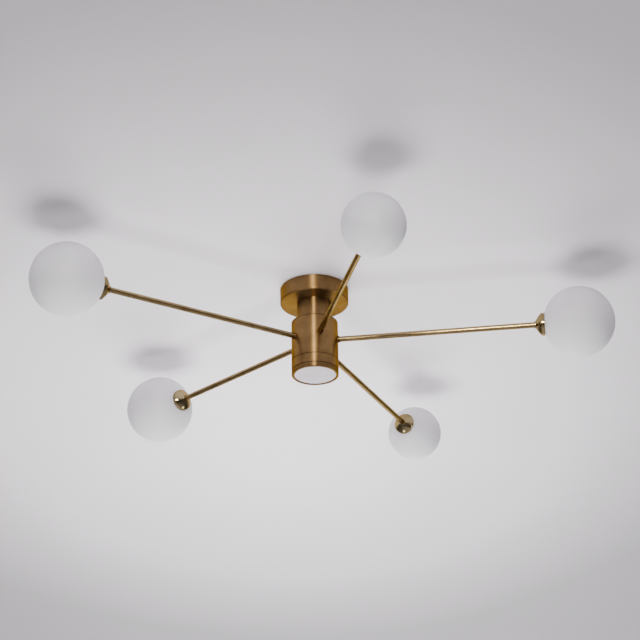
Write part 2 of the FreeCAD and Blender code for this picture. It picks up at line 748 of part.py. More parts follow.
def lamp(rim):
    """Capsule lamp: two pins, a flat base, a collar and a domed body."""
    base_low = holder_front(rim) - SOCKET_DEPTH + LAMP_SEAT_GAP
    base_high = base_low + LAMP_BASE_L
    collar_high = base_high + LAMP_COLLAR_L
    tip = base_high + LAMP_BODY_L
    r = LAMP_D / 2
    neck_r = LAMP_NECK_SHARE * r
    foot_high = base_high + LAMP_FOOT_L
    body = turned([(0, base_high), (LAMP_FOOT_SHARE * r, base_high), (r, foot_high, LAMP_EDGE_R),
                   (r, collar_high, LAMP_EDGE_R / 2), (neck_r, collar_high),
                   (neck_r, tip, LAMP_TIP_SHARE * r), (0, tip)])
    flat_t = SOCKET_T - 2 * LAMP_BASE_GAP
    flat_w = SOCKET_W - 2 * LAMP_BASE_GAP
    flat = block(flat_t, flat_w, base_low, base_high, SOCKET_CORNER_R)
    body = body.fuse(flat)
    for side in (-1, 1):
        body = body.fuse(bar(PIN_D / 2, base_low - PIN_L, base_low + PIN_D, 0, side * PIN_SPACING / 2))
    return body.removeSplitter()


def glass_globe(rim, reach, globe_d):
    """Blown globe of even wall with a straight mouth that stands in the cup."""
    outer_r = globe_d / 2
    inner_r = outer_r - GLASS_T
    mouth_outer = CUP_D / 2 - CUP_WALL - GLOBE_RUNNING_GAP
    mouth_inner = mouth_outer - GLOBE_MOUTH_WALL
    mouth_end = rim - CUP_RIM_L + CUP_WALL
    outer_join = reach - math.sqrt(outer_r ** 2 - mouth_outer ** 2)
    inner_join = reach - math.sqrt(inner_r ** 2 - mouth_inner ** 2)
    outer_arc = Part.Arc(V(mouth_outer, 0, outer_join), V(outer_r, 0, reach), V(0, 0, reach + outer_r))
    inner_arc = Part.Arc(V(0, 0, reach + inner_r), V(inner_r, 0, reach), V(mouth_inner, 0, inner_join))
    edges = [Part.LineSegment(V(mouth_inner, 0, mouth_end), V(mouth_outer, 0, mouth_end)).toShape(),
             Part.LineSegment(V(mouth_outer, 0, mouth_end), V(mouth_outer, 0, outer_join)).toShape(),
             outer_arc.toShape(),
             Part.LineSegment(V(0, 0, reach + outer_r), V(0, 0, reach + inner_r)).toShape(),
             inner_arc.toShape(),
             Part.LineSegment(V(mouth_inner, 0, inner_join), V(mouth_inner, 0, mouth_end)).toShape()]
    return Part.Face(Part.Wire(edges)).revolve(V(0, 0, 0), V(0, 0, 1), 360)


def arm_lead(rim):
    """Lead from the lampholder down the tube, turning up to the junction block."""
    start = V(0, 0, holder_rear(rim) + HOLDER_BUSH_DEPTH + LEAD_SEAT_DEPTH)
    bend = JUNCTION_ABOVE_ARMS
    bend_start = V(0, 0, LEAD_ENTRY_R + bend)
    slope = bend * (1 - math.sqrt(0.5))
    bend_middle = V(-slope, 0, LEAD_ENTRY_R + slope)
    edges = [Part.LineSegment(start, bend_start).toShape(),
             Part.Arc(bend_start, bend_middle, V(-bend, 0, LEAD_ENTRY_R)).toShape()]
    return swept_lead(edges, LEAD_D, start, V(0, 0, -1))


# ---------------------------------------------------------------- write every node

save("ceiling_bracket", ceiling_bracket())
save("canopy", canopy())
save("canopy_screws", *[side_screw(angle) for angle in side_screw_angles])
save("earth_screw", earth_screw())
save("terminal_block", terminal_block())
save("terminal_screws", *terminal_screws())
save("supply_lead", supply_lead())
save("centre_nipple", centre_nipple())
save("nipple_washers", *nipple_washers())
save("nipple_nuts", *nipple_nuts())
save("neck_sleeve", neck_sleeve())
save("hub_barrel", hub_barrel())
save("junction_block", junction_block())
save("driver_lead", driver_lead())
save("led_driver", led_driver())
save("driver_screws", *driver_screws())
save("module_housing", module_housing())
save("led_leads", *led_leads())
save("led_board", led_board())
save("led_chips", *led_chips())
save("board_screws", *board_screws())
save("reflector", reflector())
save("bezel_ring", bezel_ring())
save("diffuser_disc", diffuser_disc())

save("root_collars", *[radial(root_collar(), angle, arm_z) for _, angle, _, _ in ARMS])
save("root_saddles", *[radial(root_saddle(), angle, arm_z) for _, angle, _, _ in ARMS])
save("root_nuts", *[radial(root_nut(), angle, arm_z) for _, angle, _, _ in ARMS])
save("cup_ferrules", *[radial(cup_ferrule(cup_rim(reach, globe_d)), angle, arm_z)
                       for _, angle, reach, globe_d in ARMS])

for number, angle, reach, globe_d in ARMS:
    rim = cup_rim(reach, globe_d)
    save("arm_tube_" + number, radial(arm_tube(rim), angle, arm_z))
    save("globe_cup_" + number, radial(globe_cup(rim), angle, arm_z))
    save("lampholder_" + number, radial(lampholder(rim), angle, arm_z))
    save("lamp_" + number, radial(lamp(rim), angle, arm_z))
    save("glass_globe_" + number, radial(glass_globe(rim, reach, globe_d), angle, arm_z))
    save("arm_lead_" + number, radial(arm_lead(rim), angle, arm_z))
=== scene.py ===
# %% [markdown]
# # A five-arm sputnik ceiling light
#
# This lesson dresses a finished frame of a ceiling light: a spun brass canopy, a short neck, a hub
# with a flat downlight in its end, and five thin arms that each hold an opal glass globe. The frame
# already has every solid in its true place, so the work here is finish, fine detail and light.
# We load the frame first.

import bpy
import bmesh
import math
from mathutils import Matrix, Vector


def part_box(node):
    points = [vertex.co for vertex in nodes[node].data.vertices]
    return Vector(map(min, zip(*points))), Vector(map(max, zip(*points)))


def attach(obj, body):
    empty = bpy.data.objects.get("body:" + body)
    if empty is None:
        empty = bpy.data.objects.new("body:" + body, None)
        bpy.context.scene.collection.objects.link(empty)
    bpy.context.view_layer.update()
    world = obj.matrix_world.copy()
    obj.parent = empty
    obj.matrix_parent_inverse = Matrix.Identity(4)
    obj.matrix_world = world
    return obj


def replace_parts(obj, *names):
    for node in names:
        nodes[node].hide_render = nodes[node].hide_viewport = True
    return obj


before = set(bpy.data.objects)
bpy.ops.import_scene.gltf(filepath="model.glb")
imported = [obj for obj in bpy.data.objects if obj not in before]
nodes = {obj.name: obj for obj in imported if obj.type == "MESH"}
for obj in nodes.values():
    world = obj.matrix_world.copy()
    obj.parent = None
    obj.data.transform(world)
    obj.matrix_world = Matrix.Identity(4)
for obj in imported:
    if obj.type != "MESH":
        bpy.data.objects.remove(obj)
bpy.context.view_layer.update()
MM = 0.001

# %% [markdown]
# The arms lie in one level plane, and each has its own compass angle. We don't type the angles
# again: the middle of each globe's box gives them, so the dressing follows the frame wherever an
# arm is moved.

# %% Find the arms
ARM_NUMBERS = ("1", "2", "3", "4", "5")


def middle(node):
    low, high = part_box(node)
    return (low + high) / 2


arm_height = middle("glass_globe_1").z
arm_angle = {}
globe_middle = {}
for number in ARM_NUMBERS:
    spot = middle("glass_globe_" + number)
    globe_middle[number] = spot
    arm_angle[number] = math.atan2(spot.y, spot.x)
    print("arm", number, round(math.degrees(arm_angle[number]), 1), "degrees")

# %% [markdown]
# ## Small helpers for node materials
#
# Every finish below is a network of shader nodes. A few short helpers keep the recipes readable:
# they start a material with its Principled shader, add a node and set its values, and add the
# ramps, sums, noises, bumps and mixes that come back in every recipe. Patterns are read from
# Object coordinates, so they stay on the metal when the light is posed or exported.

# %% Material helpers


def start_material(name):
    material = bpy.data.materials.new(name)
    material.use_nodes = True
    tree = material.node_tree
    shader = tree.nodes["Principled BSDF"]
    return material, tree, shader


def add(tree, kind, **values):
    """Adds a node; a keyword is an attribute of the node, or an input if it is written in_Name."""
    node = tree.nodes.new(kind)
    for key, value in values.items():
        if key.startswith("in_"):
            node.inputs[key[3:].replace("_", " ")].default_value = value
        else:
            setattr(node, key, value)
    return node


RAMP_MIDDLE = 0.5


def ramp(tree, factor, stops):
    """A colour ramp from (place, colour) pairs; a colour may be one grey number."""
    node = tree.nodes.new("ShaderNodeValToRGB")
    elements = node.color_ramp.elements
    while len(elements) < len(stops):
        elements.new(RAMP_MIDDLE)
    for element, (place, colour) in zip(elements, stops):
        element.position = place
        if isinstance(colour, (int, float)):
            colour = (colour, colour, colour)
        element.color = (*colour, 1.0)
    tree.links.new(factor, node.inputs["Fac"])
    return node.outputs["Color"]


def math_node(tree, operation, a, b=0.0):
    """A Math node on numbers or sockets; an operation on one value ignores b."""
    node = tree.nodes.new("ShaderNodeMath")
    node.operation = operation
    for socket, value in zip(node.inputs, (a, b)):
        if isinstance(value, (int, float)):
            socket.default_value = value
        else:
            tree.links.new(value, socket)
    return node.outputs[0]


def noise(tree, vector, scale, detail, roughness):
    """Soft random pattern; the scale counts its lumps in a metre of the vector it reads."""
    node = add(tree, "ShaderNodeTexNoise", in_Scale=scale, in_Detail=detail, in_Roughness=roughness)
    tree.links.new(vector, node.inputs["Vector"])
    return node.outputs["Fac"]


def bump(tree, shader, height, distance, strength):
    """Lets a pattern tilt the surface, as if it stood out by the distance in metres."""
    node = add(tree, "ShaderNodeBump", in_Strength=strength, in_Distance=distance)
    tree.links.new(height, node.inputs["Height"])
    tree.links.new(node.outputs["Normal"], shader.inputs["Normal"])


# The Mix node has sockets for several kinds of data, and these are the places of the colour ones.
MIX_FACTOR = 0
MIX_FIRST = 6
MIX_SECOND = 7
MIX_RESULT = 2


def darkened(tree, factor, colour, by_colour):
    """One colour multiplied by another, as far as the factor says."""
    node = add(tree, "ShaderNodeMix", data_type="RGBA", blend_type="MULTIPLY")
    node.inputs[MIX_FACTOR].default_value = factor
    tree.links.new(colour, node.inputs[MIX_FIRST])
    tree.links.new(by_colour, node.inputs[MIX_SECOND])
    return node.outputs[MIX_RESULT]


def object_point(tree, turn=0.0, centre=(0.0, 0.0, 0.0)):
    """Object coordinates seen from a centre, with the arm's angle turned back onto the X axis."""
    coordinates = add(tree, "ShaderNodeTexCoord")
    if turn == 0.0 and centre == (0.0, 0.0, 0.0):
        return coordinates.outputs["Object"]
    move = add(tree, "ShaderNodeVectorMath", operation="SUBTRACT")
    tree.links.new(coordinates.outputs["Object"], move.inputs[0])
    move.inputs[1].default_value = centre
    rotate = add(tree, "ShaderNodeVectorRotate", rotation_type="Z_AXIS")
    rotate.inputs["Angle"].default_value = -turn
    tree.links.new(move.outputs[0], rotate.inputs["Vector"])
    return rotate.outputs[0]


print("helpers ready")

# %% [markdown]
# ## Brushed antique brass
#
# The canopy, neck and hub are turned on a lathe, darkened, then brushed while they spin. The
# bristles leave fine rings round the axis, so a light stretches into one bright line that runs
# along the part. We rebuild the cause and not the effect: a pattern of the distance from the axis
# and the place along it makes the rings, a light bump catches them, and anisotropy with a tangent
# round the axis stretches the highlight. Soft clouds stand for the uneven darkening.

# %% Rings of the lathe


def lathe_rings(tree, point, axis):
    """Noise that only changes along the axis and across it, as a lathe tool leaves it."""
    split = add(tree, "ShaderNodeSeparateXYZ")
    tree.links.new(point, split.inputs[0])
    along = split.outputs[axis]
    across = [split.outputs[name] for name in "XYZ" if name != axis]
    squares = [math_node(tree, "MULTIPLY", value, value) for value in across]
    radius = math_node(tree, "SQRT", math_node(tree, "ADD", squares[0], squares[1]))
    join = add(tree, "ShaderNodeCombineXYZ")
    tree.links.new(radius, join.inputs["X"])
    tree.links.new(along, join.inputs["Y"])
    return join.outputs[0]


print("rings follow the hub's axis for the hub and each arm's own axis for its cup")

# %% [markdown]
# Dark lines are painted round the hub where the barrel meets the housing and where the housing
# meets the bezel, and a thin one just under the top edge, which is painted shade on the rounded
# edge and not a seam. The first two heights are read from the frame.

# %% Dark lines of the hub, one of them painted shade
BRASS_DEEP = (0.172, 0.102, 0.042)
BRASS_BODY = (0.222, 0.135, 0.057)
BRASS_WARM = (0.272, 0.172, 0.076)
BRASS_EDGE = (0.60, 0.44, 0.25)
EDGE_SHADE_DROP = 2.0 * MM
DARK_LINE_HEIGHTS = [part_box(node)[0].z for node in ("hub_barrel", "module_housing")]
# Painted shade: a dark line just under the hub's rounded top edge.
DARK_LINE_HEIGHTS.append(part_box("hub_barrel")[1].z - EDGE_SHADE_DROP)
DARK_LINE_REACH = 1.3 * MM
DARK_LINE_STOPS = [(0.0, 0.22), (0.45, 0.60), (1.0, 1.0)]


def dark_lines_and_painted_shade(tree, point):
    """Grey, white away from the dark lines and dark at their heights; the top one is painted shade."""
    split = add(tree, "ShaderNodeSeparateXYZ")
    tree.links.new(point, split.inputs[0])
    nearest = 1.0
    for height in DARK_LINE_HEIGHTS:
        away = math_node(tree, "ABSOLUTE", math_node(tree, "SUBTRACT", split.outputs["Z"], height))
        nearest = math_node(tree, "MINIMUM", nearest, math_node(tree, "DIVIDE", away, DARK_LINE_REACH))
    return ramp(tree, nearest, DARK_LINE_STOPS)


print("dark seams at", [round(height, 4) for height in DARK_LINE_HEIGHTS])

# %% [markdown]
# Now the finish itself. Its shade makes a darker copy for the bezel and the small collars, which
# is painted shade. Fine rings go to the bump, broad ones to the tone and the roughness.

# %% Brushed brass
FINE_RINGS = 2600.0
BROAD_RINGS = 420.0
BRASS_CLOUDS = 34.0
BRASS_STOPS = (0.30, 0.52, 0.78)
RING_SHADE = [(0.30, 0.80), (0.70, 1.0)]
RING_WEIGHT = 0.55
BRUSHED_ROUGHNESS = (0.34, 0.42)
HIGHLIGHT_STRETCH = 0.9
QUARTER_TURN = 0.25
RING_DEPTH = 0.04 * MM


def brushed_brass(name, shade):
    material, tree, shader = start_material(name)
    point = object_point(tree)
    rings = lathe_rings(tree, point, "Z")
    fine = noise(tree, rings, FINE_RINGS, detail=2.0, roughness=0.6)
    broad = noise(tree, rings, BROAD_RINGS, detail=3.0, roughness=0.6)
    clouds = noise(tree, point, BRASS_CLOUDS, detail=5.0, roughness=0.6)
    shaded = [tuple(value * shade for value in colour) for colour in (BRASS_DEEP, BRASS_BODY, BRASS_WARM)]
    tone = ramp(tree, clouds, list(zip(BRASS_STOPS, shaded)))
    tone = darkened(tree, RING_WEIGHT, tone, ramp(tree, broad, RING_SHADE))
    # Dark lines at the hub's joins, and painted shade under its top edge.
    tone = darkened(tree, 1.0, tone, dark_lines_and_painted_shade(tree, point))
    tree.links.new(tone, shader.inputs["Base Color"])
    smooth, dull = BRUSHED_ROUGHNESS
    rough = add(tree, "ShaderNodeMapRange", in_To_Min=smooth, in_To_Max=dull)
    tree.links.new(broad, rough.inputs["Value"])
    tree.links.new(rough.outputs[0], shader.inputs["Roughness"])
    shader.inputs["Metallic"].default_value = 1.0
    shader.inputs["Specular Tint"].default_value = (*BRASS_EDGE, 1.0)
    shader.inputs["Anisotropic"].default_value = HIGHLIGHT_STRETCH
    shader.inputs["Anisotropic Rotation"].default_value = QUARTER_TURN
    tangent = add(tree, "ShaderNodeTangent", direction_type="RADIAL", axis="Z")
    tree.links.new(tangent.outputs[0], shader.inputs["Tangent"])
    bump(tree, shader, fine, RING_DEPTH, strength=0.06)
    return material


spun_brass = brushed_brass("brushed_antique_brass", 1.0)
# A darker copy of the same brass: painted shade on the bezel and the root collars.
bezel_brass_painted_shade = brushed_brass("brushed_brass_painted_shade", 0.80)
print("made", spun_brass.name, "and", bezel_brass_painted_shade.name)

# %% [markdown]
# ## Polished brass
#
# The arms and cups are the same metal left bright: drawn tube and spun cups, wiped but not
# brushed, so they mirror the room with small sharp highlights. A mirror finish still needs
# something to vary: faint draw marks along the tube or turning marks round the cup, slow tone
# changes, and a few duller patches where fingers have been. Each arm points its own way, so each
# gets a copy of the recipe turned to its angle.

# %% Polished brass
CUP_TONES = ((0.190, 0.145, 0.072), (0.250, 0.198, 0.105), (0.315, 0.255, 0.142))
TUBE_TONES = ((0.200, 0.139, 0.064), (0.262, 0.188, 0.090), (0.330, 0.246, 0.124))
TONE_STOPS = (0.30, 0.50, 0.75)
CUP_ROUGHNESS = (0.09, 0.13, 0.20)
TUBE_ROUGHNESS = (0.22, 0.26, 0.32)
SMEAR_STOPS = (0.40, 0.62, 0.80)
TURNING_MARKS = 1500.0
DRAW_MARKS = (6.0, 900.0, 900.0)
POLISH_CLOUDS = 26.0
FINGER_SMEARS = 95.0
MARK_DEPTH = 0.02 * MM


def polished_brass(name, turn, across_marks):
    """across_marks is True for turned pieces (rings) and False for drawn tube (lengthwise marks)."""
    material, tree, shader = start_material(name)
    point = object_point(tree, turn, (0.0, 0.0, arm_height))
    if across_marks:
        marks_at = lathe_rings(tree, point, "X")
        marks_scale = TURNING_MARKS
    else:
        stretch = add(tree, "ShaderNodeVectorMath", operation="MULTIPLY")
        tree.links.new(point, stretch.inputs[0])
        stretch.inputs[1].default_value = DRAW_MARKS
        marks_at = stretch.outputs[0]
        marks_scale = 1.0
    marks = noise(tree, marks_at, marks_scale, detail=2.0, roughness=0.6)
    clouds = noise(tree, point, POLISH_CLOUDS, detail=4.0, roughness=0.55)
    smears = noise(tree, point, FINGER_SMEARS, detail=4.0, roughness=0.65)
    tones = CUP_TONES if across_marks else TUBE_TONES
    tone = ramp(tree, clouds, list(zip(TONE_STOPS, tones)))
    tree.links.new(tone, shader.inputs["Base Color"])
    rough = CUP_ROUGHNESS if across_marks else TUBE_ROUGHNESS
    dull = ramp(tree, smears, list(zip(SMEAR_STOPS, rough)))
    tree.links.new(dull, shader.inputs["Roughness"])
    shader.inputs["Metallic"].default_value = 1.0
    shader.inputs["Specular Tint"].default_value = (*BRASS_EDGE, 1.0)
    bump(tree, shader, marks, MARK_DEPTH, strength=0.06)
    return material


tube_brass = {n: polished_brass("polished_tube_" + n, arm_angle[n], False) for n in ARM_NUMBERS}
cup_brass = {n: polished_brass("polished_cup_" + n, arm_angle[n], True) for n in ARM_NUMBERS}
print("made", len(tube_brass) + len(cup_brass), "polished finishes")

# %% [markdown]
# ## Opal glass
#
# Opal globes are clear glass with a thin milky layer, acid-etched outside to a silky surface.
# Light enters, scatters and leaves elsewhere, which softens every shadow. Subsurface scattering
# gives that softness, and a satin roughness spreads the reflections. Mouth-blown glass is never
# quite even: slow noise changes the tone, and a much finer one gives the etched skin its tooth.

# %% Opal glass
OPAL_TONES = [(0.30, (0.640, 0.615, 0.645)), (0.70, (0.680, 0.655, 0.685))]
OPAL_SATIN = [(0.30, 0.46), (0.70, 0.56)]
UNEVEN_GLASS = 22.0
ETCHED_SKIN = 1400.0
GLASS_IOR = 1.50
MILK_DEPTH = 0.006


def opal_glass(name, centre):
    material, tree, shader = start_material(name)
    point = object_point(tree, 0.0, tuple(centre))
    slow = noise(tree, point, UNEVEN_GLASS, detail=3.0, roughness=0.5)
    etched = noise(tree, point, ETCHED_SKIN, detail=2.0, roughness=0.5)
    tree.links.new(ramp(tree, slow, OPAL_TONES), shader.inputs["Base Color"])
    tree.links.new(ramp(tree, slow, OPAL_SATIN), shader.inputs["Roughness"])
    shader.inputs["IOR"].default_value = GLASS_IOR
    shader.inputs["Subsurface Weight"].default_value = 0.35
    shader.inputs["Subsurface Radius"].default_value = (1.0, 0.95, 0.95)
    shader.inputs["Subsurface Scale"].default_value = MILK_DEPTH
    bump(tree, shader, etched, 0.03 * MM, strength=0.10)
    return material


opal = {n: opal_glass("opal_glass_" + n, globe_middle[n]) for n in ARM_NUMBERS}
print("made", len(opal), "opal finishes")

# %% [markdown]
# The downlight's cover is a disc of opal acrylic. It scatters light as the globes do, but it is
# moulded and flat, with a finer tooth and a shallower milky depth.

# %% Frosted diffuser
ACRYLIC_TONES = [(0.30, (0.450, 0.412, 0.440)), (0.70, (0.492, 0.452, 0.482))]
UNEVEN_ACRYLIC = 40.0
FROSTED_TOOTH = 2200.0
FROST_DEPTH = 0.003


def frosted_diffuser():
    material, tree, shader = start_material("opal_acrylic")
    point = object_point(tree)
    slow = noise(tree, point, UNEVEN_ACRYLIC, detail=3.0, roughness=0.5)
    tooth = noise(tree, point, FROSTED_TOOTH, detail=2.0, roughness=0.5)
    tree.links.new(ramp(tree, slow, ACRYLIC_TONES), shader.inputs["Base Color"])
    shader.inputs["Roughness"].default_value = 0.5
    shader.inputs["Subsurface Weight"].default_value = 0.25
    shader.inputs["Subsurface Radius"].default_value = (1.0, 1.0, 1.0)
    shader.inputs["Subsurface Scale"].default_value = FROST_DEPTH
    bump(tree, shader, tooth, 0.02 * MM, strength=0.08)
    return material


acrylic = frosted_diffuser()
print("made", acrylic.name)

# %% [markdown]
# ## Inside finishes
#
# With a globe off or the canopy down, other materials show: glazed ceramic lampholders, zinc
# plated steel, yellow brass screws, white and grey plastics, the LED board and the rubber sheath of
# the leads. Each is one call to a shared recipe with its own dark and light tone, roughness, grain
# size and grain depth in millimetres.

# %% Recipe for inside finishes
PATCH_STOPS = (0.32, 0.68)
GLOSS_STOPS = (0.30, 0.70)
GLOSS_SPREAD = (0.85, 1.15)


def plain_finish(name, dark, light, rough, grain, depth, metallic=0.0, coat=0.0, patch=60.0):
    """Two tones in soft patches, a fine grain for the bump, and roughness that follows the patches."""
    material, tree, shader = start_material(name)
    point = object_point(tree)
    patches = noise(tree, point, patch, detail=4.0, roughness=0.6)
    fine = noise(tree, point, grain, detail=3.0, roughness=0.6)
    tone = ramp(tree, patches, list(zip(PATCH_STOPS, (dark, light))))
    tree.links.new(tone, shader.inputs["Base Color"])
    gloss = ramp(tree, patches, [(stop, rough * share) for stop, share in zip(GLOSS_STOPS, GLOSS_SPREAD)])
    tree.links.new(gloss, shader.inputs["Roughness"])
    shader.inputs["Metallic"].default_value = metallic
    shader.inputs["Coat Weight"].default_value = coat
    bump(tree, shader, fine, depth * MM, strength=0.25)
    return material


print("recipe ready")

# %% [markdown]
# The same recipe gives nine finishes. Only the metals turn on metallic, and a clear coat goes on
# what is glazed, lacquered or glassy.

# %% Nine inside finishes
zinc = plain_finish("zinc_plated_steel", (0.42, 0.42, 0.40), (0.62, 0.61, 0.57), 0.30, 900.0, 0.02,
                    metallic=1.0, patch=140.0)
yellow_brass = plain_finish("yellow_brass", (0.52, 0.37, 0.15), (0.70, 0.52, 0.24), 0.24, 1200.0, 0.02,
                            metallic=1.0, patch=120.0)
ceramic = plain_finish("glazed_ceramic", (0.74, 0.73, 0.70), (0.84, 0.83, 0.80), 0.22, 300.0, 0.05, coat=0.5)
white_plastic = plain_finish("white_nylon", (0.68, 0.68, 0.66), (0.78, 0.78, 0.76), 0.42, 1500.0, 0.03)
driver_plastic = plain_finish("driver_plastic", (0.60, 0.60, 0.60), (0.70, 0.70, 0.70), 0.50, 1100.0, 0.05)
board = plain_finish("white_board_lacquer", (0.78, 0.79, 0.78), (0.86, 0.87, 0.86), 0.30, 700.0, 0.02,
                     coat=0.3)
phosphor = plain_finish("led_phosphor", (0.72, 0.52, 0.10), (0.85, 0.66, 0.18), 0.35, 2400.0, 0.03,
                        coat=0.4, patch=900.0)
sheath = plain_finish("lead_sheath", (0.62, 0.61, 0.58), (0.70, 0.69, 0.66), 0.46, 1600.0, 0.04)
lamp_glass = plain_finish("frosted_lamp", (0.80, 0.80, 0.78), (0.90, 0.90, 0.88), 0.38, 1300.0, 0.02,
                          coat=0.2)
print("inside finishes ready")

# %% [markdown]
# ## Dress the frame
#
# Each node of the frame gets its finish. Its mesh isn't touched: only the material slot is filled.

# %% Assign finishes


def dress(node, material):
    mesh = nodes[node].data
    mesh.materials.clear()
    mesh.materials.append(material)


NODES_OF_FINISH = (
    (spun_brass, ("canopy", "neck_sleeve", "hub_barrel", "module_housing")),
    # The bezel and root collars take the darker copy, which is painted shade.
    (bezel_brass_painted_shade, ("bezel_ring", "root_collars")),
    (zinc, ("ceiling_bracket", "nipple_washers", "nipple_nuts", "centre_nipple", "root_saddles",
            "root_nuts", "driver_screws", "board_screws")),
    (yellow_brass, ("earth_screw", "terminal_screws", "canopy_screws")),
    (white_plastic, ("terminal_block", "junction_block", "reflector")),
    (driver_plastic, ("led_driver",)),
    (board, ("led_board",)),
    (phosphor, ("led_chips",)),
    (acrylic, ("diffuser_disc",)),
    (sheath, ("supply_lead", "driver_lead", "led_leads")),
    (cup_brass["1"], ("cup_ferrules",)),
)
for finish, its_nodes in NODES_OF_FINISH:
    for node in its_nodes:
        dress(node, finish)
for number in ARM_NUMBERS:
    dress("arm_tube_" + number, tube_brass[number])
    dress("globe_cup_" + number, cup_brass[number])
    dress("glass_globe_" + number, opal[number])
    dress("lampholder_" + number, ceramic)
    dress("lamp_" + number, lamp_glass)
    dress("arm_lead_" + number, sheath)
undressed = [node for node, thing in nodes.items() if not thing.data.materials]
print("nodes without a finish:", undressed)

# %% [markdown]
# ## Tools for small turned pieces
#
# Screws, threads and collars are all turned or milled, so we make them as a workshop does. First
# come the measuring tools: one parts a node into its solids, and two look at a node along its arm,
# so that a new piece takes its size and place from the solid that it dresses.

# %% Measuring helpers
WELD = 0.001 * MM


def solids(node):
    """The separate solids of a node, each as the list of its corner points."""
    form = bmesh.new()
    form.from_mesh(nodes[node].data)
    bmesh.ops.remove_doubles(form, verts=form.verts, dist=WELD)
    left = set(form.verts)
    found = []
    for seed in form.verts:
        if seed not in left:
            continue
        left.discard(seed)
        stack = [seed]
        island = []
        while stack:
            vert = stack.pop()
            island.append(vert.co.copy())
            for edge in vert.link_edges:
                other = edge.other_vert(vert)
                if other in left:
                    left.discard(other)
                    stack.append(other)
        found.append(island)
    form.free()
    return found


def radius_of(point):
    return math.hypot(point.x, point.y)


def arm_place(number):
    """A matrix whose Z axis runs out along an arm from the hub's axis."""
    direction = Vector((math.cos(arm_angle[number]), math.sin(arm_angle[number]), 0.0))
    turn = direction.to_track_quat("Z", "Y").to_matrix().to_4x4()
    return Matrix.Translation((0.0, 0.0, arm_height)) @ turn


def along_arm(number, node):
    """The corner points of a node, seen in its arm's own frame."""
    back = arm_place(number).inverted()
    return [back @ vert.co for vert in nodes[node].data.vertices]


print("canopy screws:", len(solids("canopy_screws")), "solids")

# %% [markdown]
# Spinning an outline is what a lathe does, and it gives even rings of faces. Normals are
# recalculated for each part before it joins the others, because a spin may leave them inward.

# %% Building helpers
SHARP_ANGLE = math.radians(35.0)


def spun(outline, segments, closed=False):
    """Spins (radius, height) points round Z. Unless it is closed, both its ends lie on the axis."""
    part = bmesh.new()
    verts = [part.verts.new((radius, 0.0, height)) for radius, height in outline]
    edges = [part.edges.new(pair) for pair in zip(verts, verts[1:])]
    if closed:
        edges.append(part.edges.new((verts[-1], verts[0])))
    bmesh.ops.spin(part, geom=verts + edges, cent=(0.0, 0.0, 0.0), axis=(0.0, 0.0, 1.0),
                   angle=math.tau, steps=segments, use_merge=True)
    bmesh.ops.remove_doubles(part, verts=part.verts, dist=WELD / 10)
    return part


def put(form, part, place=Matrix.Identity(4)):
    """Adds a part to a form, with its normals outward, at a place."""
    bmesh.ops.recalc_face_normals(part, faces=part.faces)
    bmesh.ops.transform(part, matrix=place, verts=part.verts)
    scrap = bpy.data.meshes.new("scrap")
    part.to_mesh(scrap)
    part.free()
    form.from_mesh(scrap)
    bpy.data.meshes.remove(scrap)


def new_piece(name, form, material, body):
    """Turns a form into a smooth-shaded object that rides on a body."""
    for face in form.faces:
        face.smooth = True
    for edge in form.edges:
        edge.smooth = len(edge.link_faces) == 2 and edge.calc_face_angle(0.0) < SHARP_ANGLE
    mesh = bpy.data.meshes.new(name)
    form.to_mesh(mesh)
    form.free()
    mesh.materials.append(material)
    piece = bpy.data.objects.new(name, mesh)
    bpy.context.scene.collection.objects.link(piece)
    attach(piece, body)
    print("made", name, "with", len(mesh.polygons), "faces")
    return piece


print("building helpers ready")

# %% [markdown]
# ## Slotted screws
#
# The frame's screws have plain domed heads. A screw that can be turned needs a slot, and a slot
# isn't painted on: the head is a low disc with two raised halves on it and a gap between them.
# First a helper measures the plain screw. It turns its points until its axis is upright, and
# finds the head as the widest part.

# %% Measure a plain screw
HEAD_EDGE_SHARE = 0.9
SEAT_MARGIN = 0.01 * MM


def measure_screw(points, axis):
    """Where a screw sits (at the underside of its head), then head and shank radius and length."""
    turn = axis.to_track_quat("Z", "Y")
    local = [turn.inverted() @ point for point in points]
    middle_x = (min(q.x for q in local) + max(q.x for q in local)) / 2
    middle_y = (min(q.y for q in local) + max(q.y for q in local)) / 2
    reach = [math.hypot(q.x - middle_x, q.y - middle_y) for q in local]
    head_r = max(reach)
    seat = min(q.z for q, r in zip(local, reach) if r > HEAD_EDGE_SHARE * head_r)
    shank_r = max([r for q, r in zip(local, reach) if q.z < seat - SEAT_MARGIN], default=0.0)
    top = max(q.z for q in local)
    low = min(q.z for q in local)
    place = Matrix.Translation(turn @ Vector((middle_x, middle_y, seat))) @ turn.to_matrix().to_4x4()
    return place, head_r, top - seat, shank_r, seat - low


print("ready to measure screws")

# %% [markdown]
# Then the slotted screw is built there: shank and disc are one spun outline, and each raised half
# is an arc of points, extruded upwards and bevelled along its top edge.

# %% Build a slotted screw
SLOT_SHARE = 0.22
SLOT_FLOOR_SHARE = 0.45
HEAD_BEVEL_SHARE = 0.14
TIP_SHARE = 0.25
ARC_STEPS = 18
SCREW_SEGMENTS = 48


def raised_half(head_r, head_t, floor, side):
    """Half of a screw head above the slot's floor, on the side that is 1 or -1."""
    start = math.asin(SLOT_SHARE / 2)
    sweep = math.pi - 2 * start
    turns = [start + sweep * step / ARC_STEPS for step in range(ARC_STEPS + 1)]
    half = bmesh.new()
    rim = [half.verts.new((head_r * math.cos(a), side * head_r * math.sin(a), floor)) for a in turns]
    made = bmesh.ops.extrude_face_region(half, geom=[half.faces.new(rim)])
    raised = {item for item in made["geom"] if isinstance(item, bmesh.types.BMVert)}
    bmesh.ops.translate(half, vec=(0.0, 0.0, head_t - floor), verts=list(raised))
    top_edges = [edge for edge in half.edges if set(edge.verts) <= raised]
    bmesh.ops.bevel(half, geom=top_edges, offset=head_t * HEAD_BEVEL_SHARE, segments=2, profile=0.5,
                    affect="EDGES", material=-1)
    return half


